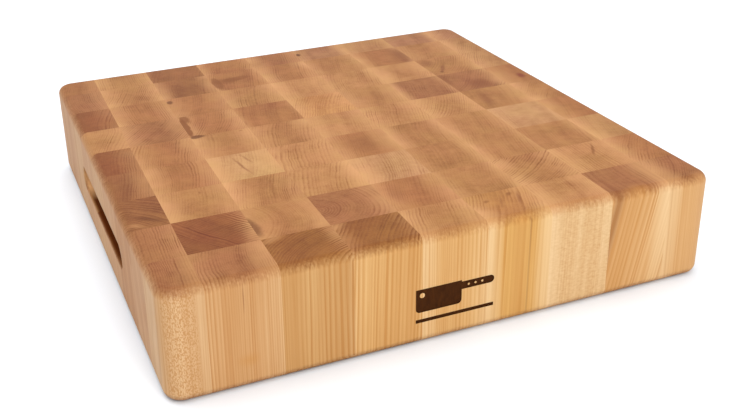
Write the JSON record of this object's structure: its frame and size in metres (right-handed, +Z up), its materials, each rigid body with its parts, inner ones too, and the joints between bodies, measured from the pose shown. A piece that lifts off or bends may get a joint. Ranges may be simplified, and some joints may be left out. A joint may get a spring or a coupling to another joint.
{
  "type": "end-grain chopping block",
  "caption": "Thick square end-grain maple cutting board with rounded edges, a routed finger grip in each side and a burnt mark on the front.",
  "frame": {"origin": "centre of the underside", "axes": "+Z up, -Y the front with the burnt mark, +X to the right seen from the front; the finger grips are in the -X and +X sides"},
  "size_m": [0.381, 0.381, 0.0762],
  "materials": {
    "maple_cream": "oiled, satin",
    "maple_pale": "oiled, satin",
    "maple_honey": "oiled, satin",
    "maple_tan": "oiled, satin",
    "maple_rose": "oiled, satin",
    "maple_brown": "oiled, satin",
    "maple_dark": "oiled, satin"
  },
  "bodies": {
    "root": {"stave_a1": "maple_tan", "stave_a2": "maple_tan", "stave_a3": "maple_dark", "stave_a4": "maple_brown", "stave_a5": "maple_brown", "stave_a6": "maple_pale", "stave_a7": "maple_dark", "stave_a8": "maple_rose", "stave_a9": "maple_rose", "stave_b1": "maple_rose", "stave_b8": "maple_honey", "stave_b9": "maple_honey", "stave_c1": "maple_dark", "stave_c8": "maple_brown", "stave_c9": "maple_dark", "stave_d1": "maple_dark", "stave_d8": "maple_rose", "stave_d9": "maple_rose", "stave_e1": "maple_honey", "stave_e8": "maple_tan", "stave_e9": "maple_rose", "stave_f1": "maple_honey", "stave_f8": "maple_tan", "stave_f9": "maple_tan", "stave_g1": "maple_honey", "stave_g8": "maple_rose", "stave_g9": "maple_honey", "stave_h1": "maple_rose", "stave_h8": "maple_tan", "stave_h9": "maple_rose", "stave_i1": "maple_tan", "stave_i2": "maple_tan", "stave_i3": "maple_honey", "stave_i4": "maple_tan", "stave_i5": "maple_honey", "stave_i6": "maple_tan", "stave_i7": "maple_honey", "stave_i8": "maple_honey", "stave_i9": "maple_rose", "staves_b2_b5": "maple_dark", "staves_b3_b6": "maple_honey", "staves_b4_b7": "maple_tan", "staves_c2_c5": "maple_honey", "staves_c3_c6": "maple_honey", "staves_c4_c7": "maple_cream", "staves_d2_d5": "maple_brown", "staves_d3_d6": "maple_pale", "staves_d4_d7": "maple_honey", "staves_e2_e5": "maple_rose", "staves_e3_e6": "maple_pale", "staves_e4_e7": "maple_tan", "staves_f2_f5": "maple_honey", "staves_f3_f6": "maple_rose", "staves_f4_f7": "maple_honey", "staves_g2_g5": "maple_tan", "staves_g3_g6": "maple_honey", "staves_g4_g7": "maple_honey", "staves_h2_h5": "maple_honey", "staves_h3_h6": "maple_tan", "staves_h4_h7": "maple_pale"}
  },
  "joints": []
}
